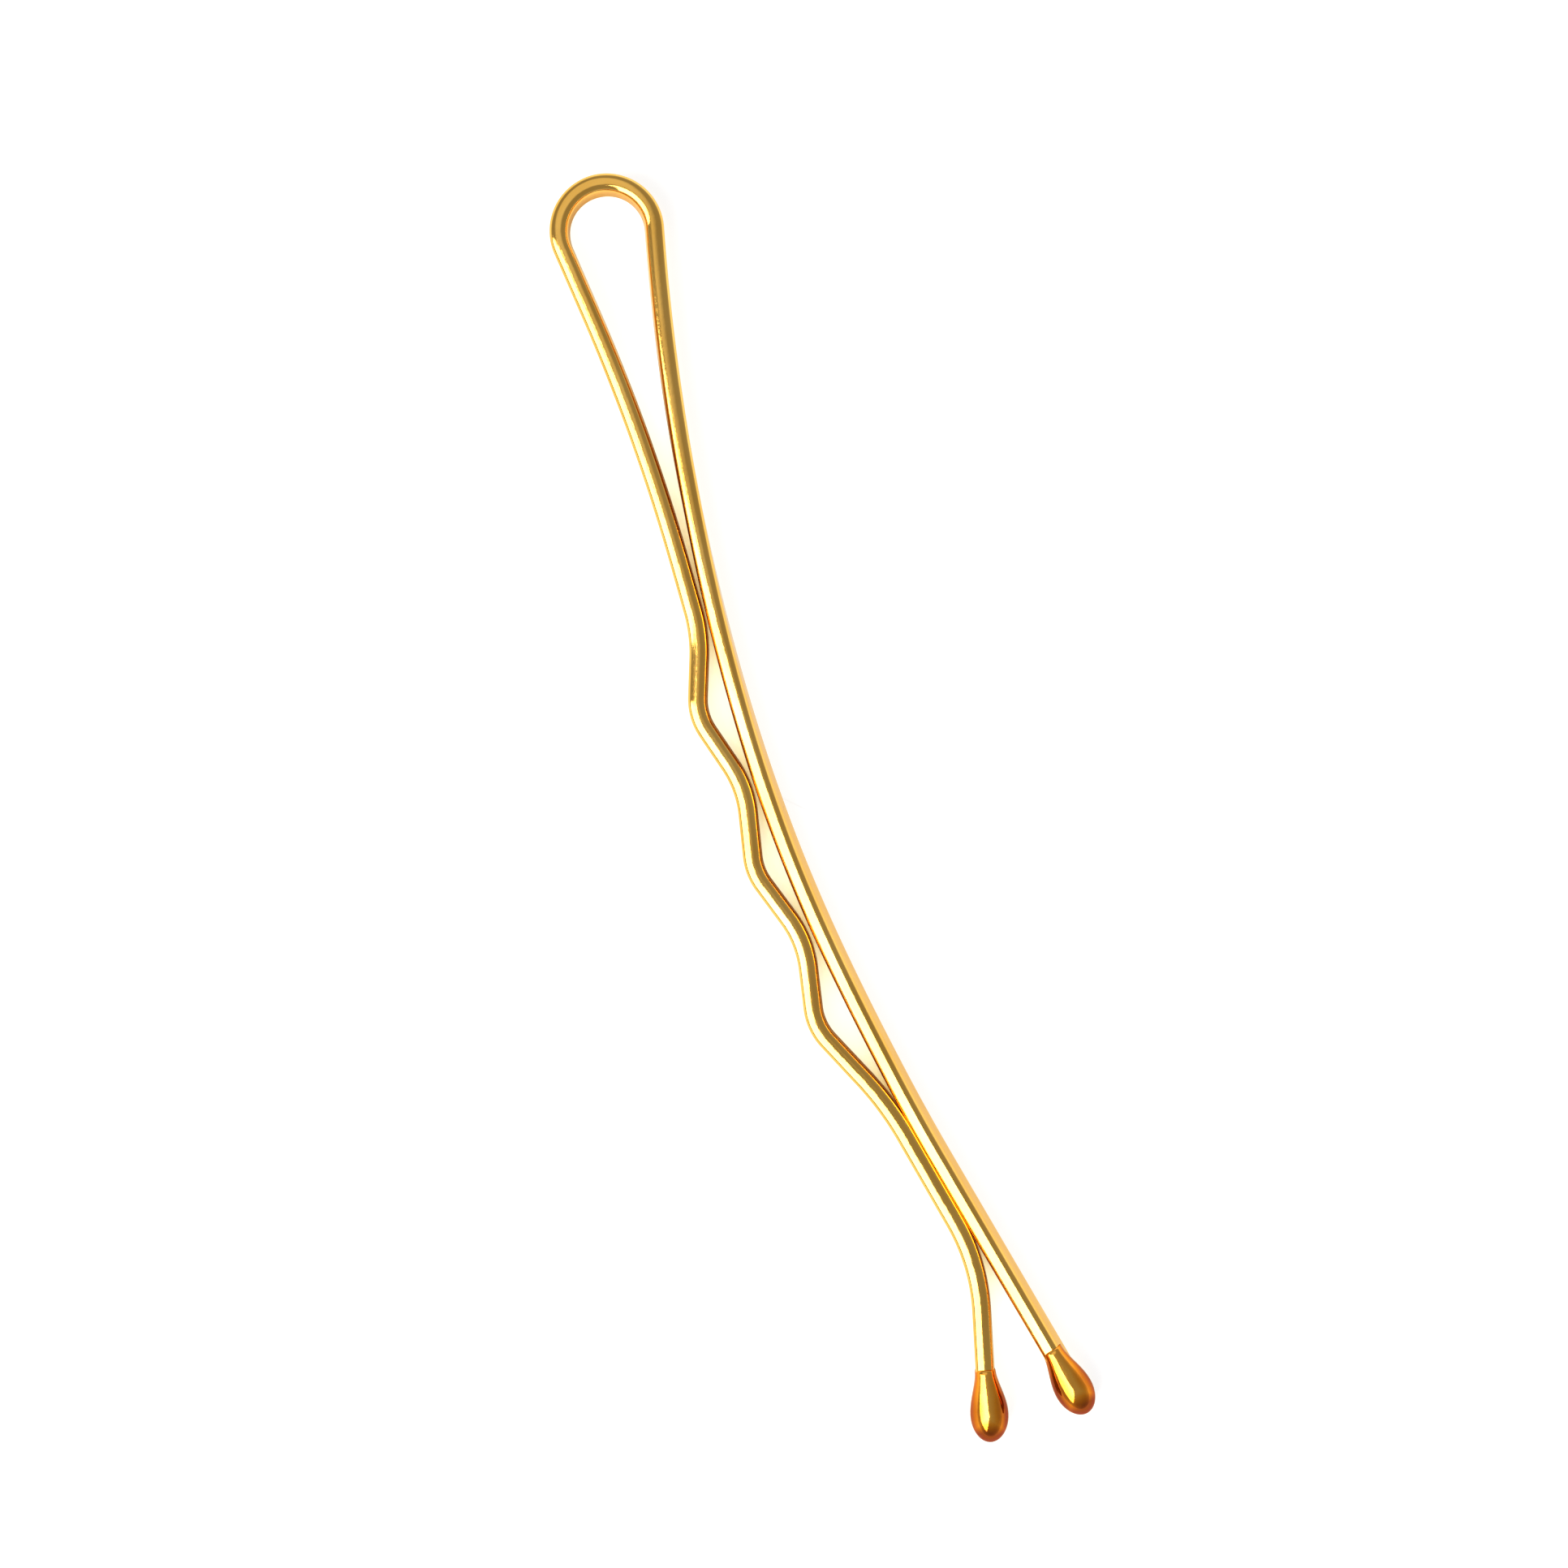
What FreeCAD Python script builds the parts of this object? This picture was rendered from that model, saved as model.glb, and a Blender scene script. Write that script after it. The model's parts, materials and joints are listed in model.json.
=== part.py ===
import FreeCAD, Part
import math
import os

import Sketcher

# A bobby pin: one flattened spring wire, bent into a loop and two legs, with a dipped bead on each end.
# The wire is made in three sections. Each leg meets the loop in a round knuckle, where the leg flexes.
# Everything is drawn about the centre of the straight leg's bow, then laid down with its length along X.
# A station is a length along the straight leg from the loop. A gap is from the straight leg's face.

SIZES = {
    # Wire: thin in the plane of its bends, wide across it, with round edges
    "wire_thickness": 0.72,
    "wire_width": 1.40,
    # Straight leg: a bow that starts at the loop, then a straight end
    "bow_radius": 82.5,
    "bow_length": 37.75,
    "straight_end": 10.35,
    # Loop, to the middle of the wire
    "loop_radius": 1.82,
    # Wavy leg between the loop and its first wave
    "shoulder_gap": 0.61,
    "run_in": 2.95,
    "run_in_gap": 0.18,
    "run_in_bend": 6.0,
    # Waves of the wavy leg
    "wave_pitch": 6.25,
    "first_trough_gap": 1.08,
    "second_trough_gap": 0.97,
    "third_trough_gap": 1.18,
    "trough_bend": 2.2,
    "crest_gap": 0.17,
    "crest_bend": 4.1,
    # Wavy leg from the last wave to the stretch that presses on the straight leg
    "run_out": 3.85,
    "contact_bend": 12.0,
    "contact_run": 2.85,
    "contact_gap": 0.05,
    # Flared end of the wavy leg
    "flare_run": 4.16,
    "flare_angle": 27.0,
    "flare_bend": 7.8,
    "flare_length": 6.01,
    # Knuckles: how far each is ahead of the run-in corner, and the straight stretch before the wavy one
    "straight_knuckle_ahead": 1.4,
    "wavy_knuckle_ahead": 1.7,
    "knuckle_straight": 1.0,
    "knuckle_margin": 0.09,
    "knuckle_clearance": 0.03,
    # Dipped beads: how much wire each covers, and its walls beside the wire and past its end
    "bead_cover": 1.93,
    "bead_end_wall": 0.91,
    "bead_side_wall": 0.38,
    "bead_edge_wall": 0.18,
    "bead_lip": 0.05,
    "bead_edge_lip": 0.13,
    "bead_nose": 1.07,
    "bead_sag": 0.07,
}

ORIGIN = FreeCAD.Vector(0, 0, 0)
UP = FreeCAD.Vector(0, 0, 1)
# Sections of a bead: shares of the way from its lip to its widest, then degrees round its nose
SWELL_SHARES = (0.1, 0.25, 0.4, 0.55, 0.7, 0.85, 1)
SWELL_POWER = 1.6
NOSE_ANGLES = (15, 30, 45, 60, 75)


class Size:
    """A number to draw with, and the sheet formula that drives it."""

    def __init__(self, value, formula):
        self.value = value
        self.formula = formula

    def __add__(self, other):
        return joined(self, "+", other, self.value + number(other))

    def __sub__(self, other):
        return joined(self, "-", other, self.value - number(other))

    def __mul__(self, other):
        return joined(self, "*", other, self.value * number(other))

    def __truediv__(self, other):
        return joined(self, "/", other, self.value / number(other))


def number(size):
    return size.value if isinstance(size, Size) else size


def joined(left, sign, right, value):
    right_text = right.formula if isinstance(right, Size) else repr(right)
    return Size(value, f"({left.formula} {sign} {right_text})")


def size(alias):
    return Size(SIZES[alias], f"Sizes.{alias}")


def in_degrees(arc_length, radius):
    return arc_length / radius * math.degrees(1)


doc = FreeCAD.newDocument("bobby_pin")


def make_sheet():
    sheet = doc.addObject("Spreadsheet::Sheet", "Sizes")
    for row, (alias, value) in enumerate(SIZES.items(), start=1):
        sheet.set(f"A{row}", alias)
        sheet.set(f"B{row}", str(value))
        sheet.setAlias(f"B{row}", alias)
    doc.recompute()


# Stations and offsets of the wire's corners

thickness = size("wire_thickness")
bow_radius = size("bow_radius")
on_leg = Size(0, "0")
knuckle_radius = thickness / 2 + size("knuckle_margin")
contact_corner = size("bow_length") - size("contact_run")
third_trough = contact_corner - size("run_out")
second_trough = third_trough - size("wave_pitch")
first_trough = second_trough - size("wave_pitch")
half_pitch = size("wave_pitch") / 2
run_in_corner = first_trough - size("run_in")
shoulder_corner = run_in_corner / 2
straight_knuckle = run_in_corner - size("straight_knuckle_ahead")

# Each wave corner: its station, its gap and the radius of its bend
WAVE_CORNERS = [
    (run_in_corner, "run_in_gap", "run_in_bend"),
    (first_trough, "first_trough_gap", "trough_bend"),
    (first_trough + half_pitch, "crest_gap", "crest_bend"),
    (second_trough, "second_trough_gap", "trough_bend"),
    (second_trough + half_pitch, "crest_gap", "crest_bend"),
    (third_trough, "third_trough_gap", "trough_bend"),
    (contact_corner, "contact_gap", "contact_bend"),
]


# Plain geometry of the wire

def ray_angle(station):
    """Direction of a station seen from the centre of the bow, in degrees."""
    return in_degrees(station, bow_radius) - 90


def toward(angle):
    turn = math.radians(angle)
    return FreeCAD.Vector(math.cos(turn), math.sin(turn), 0)


def beside_leg(station, offset):
    """The point at a station, at an offset from the straight leg's middle towards the wavy leg."""
    return toward(ray_angle(station).value) * (bow_radius + offset).value


def quarter_turn(direction):
    return FreeCAD.Vector(-direction.y, direction.x, 0)


def wavy_offset(gap):
    return thickness + size(gap)


def turn_at(before, corner, after):
    """How far a way through three points turns at the middle one, in radians, anticlockwise if positive."""
    inward = corner - before
    outward = after - corner
    return math.atan2(inward.cross(outward).z, inward.dot(outward))


def bend_points(before, corner, after, radius):
    """Start, end and centre of the bend that rounds a corner, and whether it turns anticlockwise."""
    inward = (corner - before).normalize()
    outward = (after - corner).normalize()
    turn = turn_at(before, corner, after)
    reach = radius * math.tan(abs(turn) / 2)
    start = corner - inward * reach
    end = corner + outward * reach
    side = 1 if turn > 0 else -1
    return start, end, start + quarter_turn(inward) * (side * radius), turn > 0


def loop_centre():
    return FreeCAD.Vector(0, -(bow_radius + size("loop_radius")).value, 0)


def loop_tangent_point(corner):
    """Where the straight run that leaves the loop towards the shoulder corner touches the loop."""
    to_corner = corner - loop_centre()
    radius = SIZES["loop_radius"]
    turn = math.degrees(math.atan2(to_corner.y, to_corner.x) - math.acos(radius / to_corner.Length))
    return loop_centre() + toward(turn) * radius


def shoulder_point():
    return beside_leg(shoulder_corner, wavy_offset("shoulder_gap"))


def run_in_point():
    return beside_leg(run_in_corner, wavy_offset("run_in_gap"))


def wavy_knuckle_point():
    back = (shoulder_point() - run_in_point()).normalize()
    return run_in_point() + back * SIZES["wavy_knuckle_ahead"]


def shoulder_bend():
    """Radius of the bend that ends where the straight stretch before the wavy leg's knuckle starts."""
    corner = shoulder_point()
    knuckle = wavy_knuckle_point()
    turn = turn_at(loop_tangent_point(corner), corner, knuckle)
    reach = (knuckle - corner).Length - SIZES["knuckle_straight"]
    return reach / math.tan(abs(turn) / 2)


def straight_knuckle_point():
    return beside_leg(straight_knuckle, on_leg)


def bow_end_heading():
    return in_degrees(size("bow_length"), bow_radius)


def straight_wire_end():
    """The straight leg's end and its heading in degrees."""
    heading = bow_end_heading().value
    bow_end = toward(heading - 90) * SIZES["bow_radius"]
    return bow_end + toward(heading) * SIZES["straight_end"], heading


def flare_point():
    heading = bow_end_heading().value
    return beside_leg(size("bow_length"), wavy_offset("contact_gap")) + toward(heading) * SIZES["flare_run"]


def wavy_wire_end():
    """The wavy leg's end and its heading in degrees."""
    heading = bow_end_heading().value - SIZES["flare_angle"]
    return flare_point() + toward(heading) * SIZES["flare_length"], heading


# Sketching

def plane_of(body, role):
    return next(part for part in body.Origin.OriginFeatures if part.Role == role)


def new_sketch(body, name, role="XY_Plane"):
    sketch = body.newObject("Sketcher::SketchObject", name)
    sketch.AttachmentSupport = [(plane_of(body, role), "")]
    sketch.MapMode = "FlatFace"
    return sketch


def bind(sketch, kind, where, driver):
    index = sketch.addConstraint(Sketcher.Constraint(kind, *where, driver.value))
    sketch.setExpression(f"Constraints[{index}]", driver.formula)


def bind_angle(sketch, line, degrees):
    index = sketch.addConstraint(Sketcher.Constraint("Angle", line, math.radians(degrees.value)))
    sketch.setExpression(f"Constraints[{index}]", f"{degrees.formula} * 1 deg")


def tie(sketch, kind, *where):
    sketch.addConstraint(Sketcher.Constraint(kind, *where))


def add_line(sketch, start, end, helper=False):
    return sketch.addGeometry(Part.LineSegment(start, end), helper)


def add_arc(sketch, centre, start, end):
    """An arc that runs anticlockwise from start to end."""
    first = start - centre
    last = end - centre
    first_angle = math.atan2(first.y, first.x)
    last_angle = math.atan2(last.y, last.x)
    if last_angle <= first_angle:
        last_angle += 2 * math.pi
    circle = Part.Circle(centre, UP, first.Length)
    return sketch.addGeometry(Part.ArcOfCircle(circle, first_angle, last_angle), False)


def add_ray(sketch, station, offset):
    """A helper line from the centre of the bow to a point beside the straight leg."""
    ray = add_line(sketch, ORIGIN, beside_leg(station, offset), True)
    tie(sketch, "Coincident", ray, 1, -1, 1)
    bind_angle(sketch, ray, ray_angle(station))
    bind(sketch, "Distance", (ray,), bow_radius + offset)
    return ray


def add_knuckle_line(sketch):
    """A helper line from the wavy leg's knuckle to its run-in corner, on the run from the shoulder."""
    shoulder = add_ray(sketch, shoulder_corner, wavy_offset("shoulder_gap"))
    run_in = add_ray(sketch, run_in_corner, wavy_offset("run_in_gap"))
    line = add_line(sketch, wavy_knuckle_point(), run_in_point(), True)
    tie(sketch, "Coincident", line, 2, run_in, 2)
    tie(sketch, "PointOnObject", shoulder, 2, line)
    bind(sketch, "Distance", (line,), size("wavy_knuckle_ahead"))
    return line


def add_bent_run(sketch, start, corners, end):
    """Straight runs joined by round bends. Each corner: its point, its helper end and its bend's radius.

    A radius that is a plain number is left free, because the length of a run sets it.
    """
    points = [start] + [point for point, helper, radius in corners] + [end]
    lines = []
    run_start = start
    joint = None
    for index, (corner, helper, radius) in enumerate(corners):
        before, after = points[index], points[index + 2]
        bend_start, bend_end, centre, leftward = bend_points(before, corner, after, number(radius))
        line = add_line(sketch, run_start, bend_start)
        if leftward:
            bend = add_arc(sketch, centre, bend_start, bend_end)
        else:
            bend = add_arc(sketch, centre, bend_end, bend_start)
        first, last = (1, 2) if leftward else (2, 1)
        if joint:
            tie(sketch, "Tangent", *joint, line, 1)
        tie(sketch, "Tangent", line, 2, bend, first)
        tie(sketch, "PointOnObject", *helper, line)
        if isinstance(radius, Size):
            bind(sketch, "Radius", (bend,), radius)
        lines.append(line)
        if index:
            tie(sketch, "PointOnObject", *corners[index - 1][1], line)
        joint = (bend, last)
        run_start = bend_end
    line = add_line(sketch, run_start, end)
    tie(sketch, "Tangent", *joint, line, 1)
    tie(sketch, "PointOnObject", *corners[-1][1], line)
    lines.append(line)
    return lines


def add_slot(sketch, across, along):
    """A closed outline with round ends, centred: across in the sketch's X, along in its Y."""
    radius = across / 2
    rise = along.value / 2 - radius.value
    top = FreeCAD.Vector(0, rise, 0)
    low = FreeCAD.Vector(0, -rise, 0)
    side = FreeCAD.Vector(radius.value, 0, 0)
    left_side = add_line(sketch, low - side, top - side)
    top_end = add_arc(sketch, top, top + side, top - side)
    right_side = add_line(sketch, top + side, low + side)
    low_end = add_arc(sketch, low, low - side, low + side)
    tie(sketch, "Tangent", left_side, 2, top_end, 2)
    tie(sketch, "Tangent", top_end, 1, right_side, 1)
    tie(sketch, "Tangent", right_side, 2, low_end, 2)
    tie(sketch, "Tangent", low_end, 1, left_side, 1)
    tie(sketch, "PointOnObject", top_end, 3, -2)
    tie(sketch, "Symmetric", top_end, 3, low_end, 3, -1, 1)
    tie(sketch, "Equal", top_end, low_end)
    bind(sketch, "Radius", (top_end,), radius)
    bind(sketch, "DistanceY", (low_end, 3, top_end, 3), along - across)


# Features of the wire's sections

def sweep_wire(body, path, start_end):
    """The wire's section carried along a path; start_end is the end of the first edge to start from."""
    doc.recompute()
    section = body.newObject("Sketcher::SketchObject", f"{body.Name}_section")
    section.AttachmentSupport = [(path, "Edge1")]
    section.MapMode = "NormalToEdge"
    section.MapPathParameter = start_end
    add_slot(section, thickness, size("wire_width"))
    doc.recompute()
    wire = body.newObject("PartDesign::AdditivePipe", f"{body.Name}_wire")
    wire.Profile = section
    wire.Spine = (path, [f"Edge{index}" for index in range(1, len(path.Shape.Edges) + 1)])
    doc.recompute()


def cut_through(body, sketch):
    """Removes a sketched outline from the whole width of the wire."""
    cut = body.newObject("PartDesign::Pocket", f"{sketch.Name}_cut")
    cut.Profile = sketch
    cut.Type = "Length"
    cut.SideType = "Symmetric"
    cut.setExpression("Length", (size("wire_width") * 2).formula)
    doc.recompute()


def add_nose_outline(sketch, pivot, pivot_helper, cross_line, direction):
    """What is cut away ahead of a round nose about a pivot. The cross line passes through the pivot."""
    reach = knuckle_radius * 2
    side = quarter_turn(direction) * knuckle_radius.value
    ahead = direction * reach.value
    nose = add_arc(sketch, pivot, pivot - side, pivot + side)
    left = add_line(sketch, pivot + side, pivot + side + ahead)
    front = add_line(sketch, pivot + side + ahead, pivot - side + ahead)
    right = add_line(sketch, pivot - side + ahead, pivot - side)
    tie(sketch, "Coincident", nose, 3, *pivot_helper)
    tie(sketch, "PointOnObject", nose, 1, cross_line)
    tie(sketch, "PointOnObject", nose, 2, cross_line)
    tie(sketch, "Coincident", nose, 2, left, 1)
    tie(sketch, "Coincident", left, 2, front, 1)
    tie(sketch, "Coincident", front, 2, right, 1)
    tie(sketch, "Coincident", right, 2, nose, 1)
    tie(sketch, "Perpendicular", left, cross_line)
    tie(sketch, "Perpendicular", right, cross_line)
    tie(sketch, "Parallel", front, cross_line)
    bind(sketch, "Radius", (nose,), knuckle_radius)
    bind(sketch, "Distance", (left,), reach)


def make_straight_leg():
    body = doc.addObject("PartDesign::Body", "straight_leg")
    start_station = straight_knuckle - knuckle_radius
    path = new_sketch(body, "straight_leg_path")
    bow_start = beside_leg(start_station, on_leg)
    bow_end = beside_leg(size("bow_length"), on_leg)
    bow = add_arc(path, ORIGIN, bow_start, bow_end)
    straight = add_line(path, bow_end, straight_wire_end()[0])
    start_ray = add_ray(path, start_station, on_leg)
    end_ray = add_ray(path, size("bow_length"), on_leg)
    tie(path, "Coincident", bow, 3, -1, 1)
    tie(path, "Coincident", bow, 1, start_ray, 2)
    tie(path, "PointOnObject", bow, 2, end_ray)
    tie(path, "Tangent", bow, 2, straight, 1)
    bind(path, "Distance", (straight,), size("straight_end"))
    sweep_wire(body, path, 0)
    nose = new_sketch(body, "straight_leg_nose")
    ray = add_ray(nose, straight_knuckle, on_leg)
    pivot = straight_knuckle_point()
    back = quarter_turn(pivot).normalize() * -1
    add_nose_outline(nose, pivot, (ray, 2), ray, back)
    cut_through(body, nose)
    return body


def make_loop():
    body = doc.addObject("PartDesign::Body", "loop")
    path = new_sketch(body, "loop_path")
    leg_start = FreeCAD.Vector(0, -SIZES["bow_radius"], 0)
    tangent_point = loop_tangent_point(shoulder_point())
    bow = add_arc(path, ORIGIN, leg_start, straight_knuckle_point())
    loop = add_arc(path, loop_centre(), leg_start, tangent_point)
    shoulder = add_ray(path, shoulder_corner, wavy_offset("shoulder_gap"))
    run_in = add_ray(path, run_in_corner, wavy_offset("run_in_gap"))
    straight_ray = add_ray(path, straight_knuckle, on_leg)
    corners = [(shoulder_point(), (shoulder, 2), shoulder_bend())]
    lines = add_bent_run(path, tangent_point, corners, wavy_knuckle_point())
    tie(path, "Coincident", bow, 3, -1, 1)
    tie(path, "PointOnObject", bow, 1, -2)
    tie(path, "Coincident", bow, 2, straight_ray, 2)
    tie(path, "Tangent", bow, 1, loop, 1)
    bind(path, "Radius", (loop,), size("loop_radius"))
    tie(path, "Tangent", loop, 2, lines[0], 1)
    tie(path, "PointOnObject", run_in, 2, lines[-1])
    bind(path, "Distance", (lines[-1], 2, run_in, 2), size("wavy_knuckle_ahead"))
    bind(path, "Distance", (lines[-1],), size("knuckle_straight"))
    sweep_wire(body, path, 1)
    sockets = new_sketch(body, "loop_sockets")
    socket_radius = knuckle_radius + size("knuckle_clearance")
    straight_ray = add_ray(sockets, straight_knuckle, on_leg)
    knuckle_line = add_knuckle_line(sockets)
    for centre, helper in ((straight_knuckle_point(), (straight_ray, 2)),
                           (wavy_knuckle_point(), (knuckle_line, 1))):
        socket = sockets.addGeometry(Part.Circle(centre, UP, socket_radius.value), False)
        tie(sockets, "Coincident", socket, 3, *helper)
        bind(sockets, "Radius", (socket,), socket_radius)
    cut_through(body, sockets)
    return body


def make_wavy_leg():
    body = doc.addObject("PartDesign::Body", "wavy_leg")
    path = new_sketch(body, "wavy_leg_path")
    back = (shoulder_point() - run_in_point()).normalize()
    start = wavy_knuckle_point() + back * knuckle_radius.value
    rays = [add_ray(path, station, wavy_offset(gap)) for station, gap, bend in WAVE_CORNERS]
    corners = [(beside_leg(station, wavy_offset(gap)), (ray, 2), size(bend))
               for ray, (station, gap, bend) in zip(rays, WAVE_CORNERS)]
    shoulder = add_ray(path, shoulder_corner, wavy_offset("shoulder_gap"))
    bow_end = add_ray(path, size("bow_length"), wavy_offset("contact_gap"))
    bow_end_point = beside_leg(size("bow_length"), wavy_offset("contact_gap"))
    contact = add_line(path, bow_end_point, flare_point(), True)
    tie(path, "Coincident", contact, 1, bow_end, 2)
    tie(path, "Perpendicular", contact, bow_end)
    bind(path, "Distance", (contact,), size("flare_run"))
    corners.append((flare_point(), (contact, 2), size("flare_bend")))
    lines = add_bent_run(path, start, corners, wavy_wire_end()[0])
    tie(path, "PointOnObject", shoulder, 2, lines[0])
    bind(path, "Distance", (lines[0], 1, rays[0], 2), size("wavy_knuckle_ahead") + knuckle_radius)
    bind_angle(path, lines[-1], bow_end_heading() - size("flare_angle"))
    bind(path, "Distance", (contact, 2, lines[-1], 2), size("flare_length"))
    sweep_wire(body, path, 0)
    nose = new_sketch(body, "wavy_leg_nose")
    knuckle_line = add_knuckle_line(nose)
    pivot = wavy_knuckle_point()
    side = quarter_turn(back) * knuckle_radius.value
    cross_line = add_line(nose, pivot, pivot + side, True)
    tie(nose, "Coincident", cross_line, 1, knuckle_line, 1)
    tie(nose, "Perpendicular", cross_line, knuckle_line)
    bind(nose, "Distance", (cross_line,), knuckle_radius)
    add_nose_outline(nose, pivot, (knuckle_line, 1), cross_line, back)
    cut_through(body, nose)
    return body


# Dipped beads, each drawn along X from its lip, with the wire's end inside it

def add_bead_section(body, name, along, sideways, across, wide):
    """A section at a length along the bead, moved sideways off the wire's middle."""
    sketch = new_sketch(body, f"{body.Name}_{name}", "YZ_Plane")
    sketch.setExpression("AttachmentOffset.Base.z", along.formula)
    sketch.setExpression("AttachmentOffset.Base.x", sideways.formula)
    add_slot(sketch, across, wide)
    return sketch


def make_bead(name, inner_side):
    """A bead that sags off the wire's middle towards the other leg: 1 is to its left, -1 to its right."""
    body = doc.addObject("PartDesign::Body", name)
    start = Size(0, "0")
    middle = Size(0, "0")
    sag = size("bead_sag") * inner_side
    length = size("bead_cover") + size("bead_end_wall")
    widest_at = length - size("bead_nose")
    lip_across = thickness + size("bead_lip") * 2
    lip_wide = size("wire_width") + size("bead_edge_lip") * 2
    across = thickness + size("bead_side_wall") * 2
    wide = size("wire_width") + size("bead_edge_wall") * 2
    lip = add_bead_section(body, "lip", start, middle, lip_across, lip_wide)
    sections = []
    for share in SWELL_SHARES:
        rise = math.sin(math.radians(90 * share))
        swell = rise ** SWELL_POWER
        swell_across = lip_across + (across - lip_across) * swell
        swell_wide = lip_wide + (wide - lip_wide) * swell
        along = widest_at * share
        label = f"swell_{len(sections)}"
        sections.append(add_bead_section(body, label, along, sag * rise, swell_across, swell_wide))
    for angle in NOSE_ANGLES:
        share = math.cos(math.radians(angle))
        along = widest_at + size("bead_nose") * math.sin(math.radians(angle))
        sections.append(add_bead_section(body, f"nose_{angle}", along, sag, across * share, wide * share))
    end = new_sketch(body, f"{name}_end", "YZ_Plane")
    end.setExpression("AttachmentOffset.Base.z", length.formula)
    end.setExpression("AttachmentOffset.Base.x", sag.formula)
    point = end.addGeometry(Part.Point(ORIGIN), False)
    tie(end, "Coincident", point, 1, -1, 1)
    doc.recompute()
    bead = body.newObject("PartDesign::AdditiveLoft", f"{name}_bead")
    bead.Profile = lip
    bead.Sections = sections + [end]
    bead.Ruled = True
    doc.recompute()
    bore = body.newObject("PartDesign::Pocket", f"{name}_bore_cut")
    bore.Profile = add_bead_section(body, "bore", start, middle, thickness, size("wire_width"))
    bore.Type = "Length"
    bore.Reversed = True
    bore.setExpression("Length", size("bead_cover").formula)
    doc.recompute()
    return body


def bead_placement(wire_end, heading):
    lip_at = wire_end - toward(heading) * SIZES["bead_cover"]
    return FreeCAD.Placement(lip_at, FreeCAD.Rotation(UP, heading))


# Laying the pin down: its length along X, centred, resting on Z = 0

def lying_placement(shapes):
    middle_of_ends = (straight_wire_end()[0] + wavy_wire_end()[0]) * 0.5
    length_direction = middle_of_ends - loop_centre()
    lean = math.degrees(math.atan2(length_direction.y, length_direction.x))
    turned = FreeCAD.Placement(ORIGIN, FreeCAD.Rotation(UP, -lean))
    whole = Part.makeCompound(shapes)
    whole.Placement = turned
    box = whole.optimalBoundingBox(False)
    shift = FreeCAD.Vector(-(box.XMin + box.XMax) / 2, -(box.YMin + box.YMax) / 2, -box.ZMin)
    return FreeCAD.Placement(shift, FreeCAD.Rotation()) * turned


def check_objects():
    for item in doc.Objects:
        if "Invalid" in item.State or "Error" in item.State:
            raise RuntimeError(f"{item.Label} did not compute: {item.State}")


def check_shape(body):
    shape = body.Shape
    if shape.isNull() or not shape.isValid() or len(shape.Solids) != 1:
        raise RuntimeError(f"{body.Label} is not one valid solid")


make_sheet()
wire_sections = [make_loop(), make_straight_leg(), make_wavy_leg()]
beads = [make_bead("straight_leg_tip", -1), make_bead("wavy_leg_tip", 1)]
beads[0].Placement = bead_placement(*straight_wire_end())
beads[1].Placement = bead_placement(*wavy_wire_end())
doc.recompute()

bodies = wire_sections + beads
lying = lying_placement([body.Shape for body in bodies])
for body in bodies:
    body.Placement = lying * body.Placement
doc.recompute()
check_objects()
os.makedirs("parts", exist_ok=True)
for body in bodies:
    check_shape(body)
    body.Shape.exportStep(f"parts/{body.Label}.step")
    box = body.Shape.optimalBoundingBox(False)
    print(body.Label, f"{body.Shape.Volume:.3f} mm3", box)
print("straight leg knuckle", lying.multVec(straight_knuckle_point()))
print("wavy leg knuckle", lying.multVec(wavy_knuckle_point()))
print("loop centre", lying.multVec(loop_centre()))
print("flare corner", lying.multVec(flare_point()))
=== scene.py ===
"""A bobby pin: one plated spring wire with a loop, a bowed leg and a wavy leg, and two dipped beads."""
import cmath
import json
import math

import bpy
import numpy as np
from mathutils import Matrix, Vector


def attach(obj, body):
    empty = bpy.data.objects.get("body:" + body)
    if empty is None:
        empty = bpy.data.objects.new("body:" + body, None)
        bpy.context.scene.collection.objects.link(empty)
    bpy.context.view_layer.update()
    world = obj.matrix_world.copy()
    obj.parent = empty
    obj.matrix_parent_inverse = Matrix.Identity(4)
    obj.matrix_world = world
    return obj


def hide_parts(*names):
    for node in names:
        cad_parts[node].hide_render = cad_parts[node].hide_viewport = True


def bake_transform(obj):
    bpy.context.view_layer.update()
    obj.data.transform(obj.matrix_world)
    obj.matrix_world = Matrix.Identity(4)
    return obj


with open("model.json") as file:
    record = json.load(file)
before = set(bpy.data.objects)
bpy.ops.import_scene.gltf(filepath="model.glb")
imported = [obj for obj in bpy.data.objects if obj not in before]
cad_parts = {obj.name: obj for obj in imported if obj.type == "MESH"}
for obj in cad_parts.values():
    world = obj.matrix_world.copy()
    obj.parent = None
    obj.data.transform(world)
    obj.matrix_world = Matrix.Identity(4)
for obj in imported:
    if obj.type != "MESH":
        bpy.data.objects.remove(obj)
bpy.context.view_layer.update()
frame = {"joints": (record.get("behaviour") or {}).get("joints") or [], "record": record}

MM = 0.001

# Sizes of the wire in millimetres, as in the solids
THICKNESS = 0.72
WIDTH = 1.40
BOW_RADIUS = 82.5
BOW_LENGTH = 37.75
STRAIGHT_END = 10.35
LOOP_RADIUS = 1.82
SHOULDER_GAP = 0.61
RUN_IN = 2.95
RUN_IN_GAP = 0.18
RUN_IN_BEND = 6.0
WAVE_PITCH = 6.25
TROUGH_GAPS = (1.08, 0.97, 1.18)
TROUGH_BEND = 2.2
CREST_GAP = 0.17
CREST_BEND = 4.1
RUN_OUT = 3.85
CONTACT_RUN = 2.85
CONTACT_GAP = 0.05
CONTACT_BEND = 12.0
FLARE_RUN = 4.16
FLARE_ANGLE = 27.0
FLARE_BEND = 7.8
FLARE_LENGTH = 6.01
STRAIGHT_KNUCKLE_AHEAD = 1.4
WAVY_KNUCKLE_AHEAD = 1.7
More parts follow.
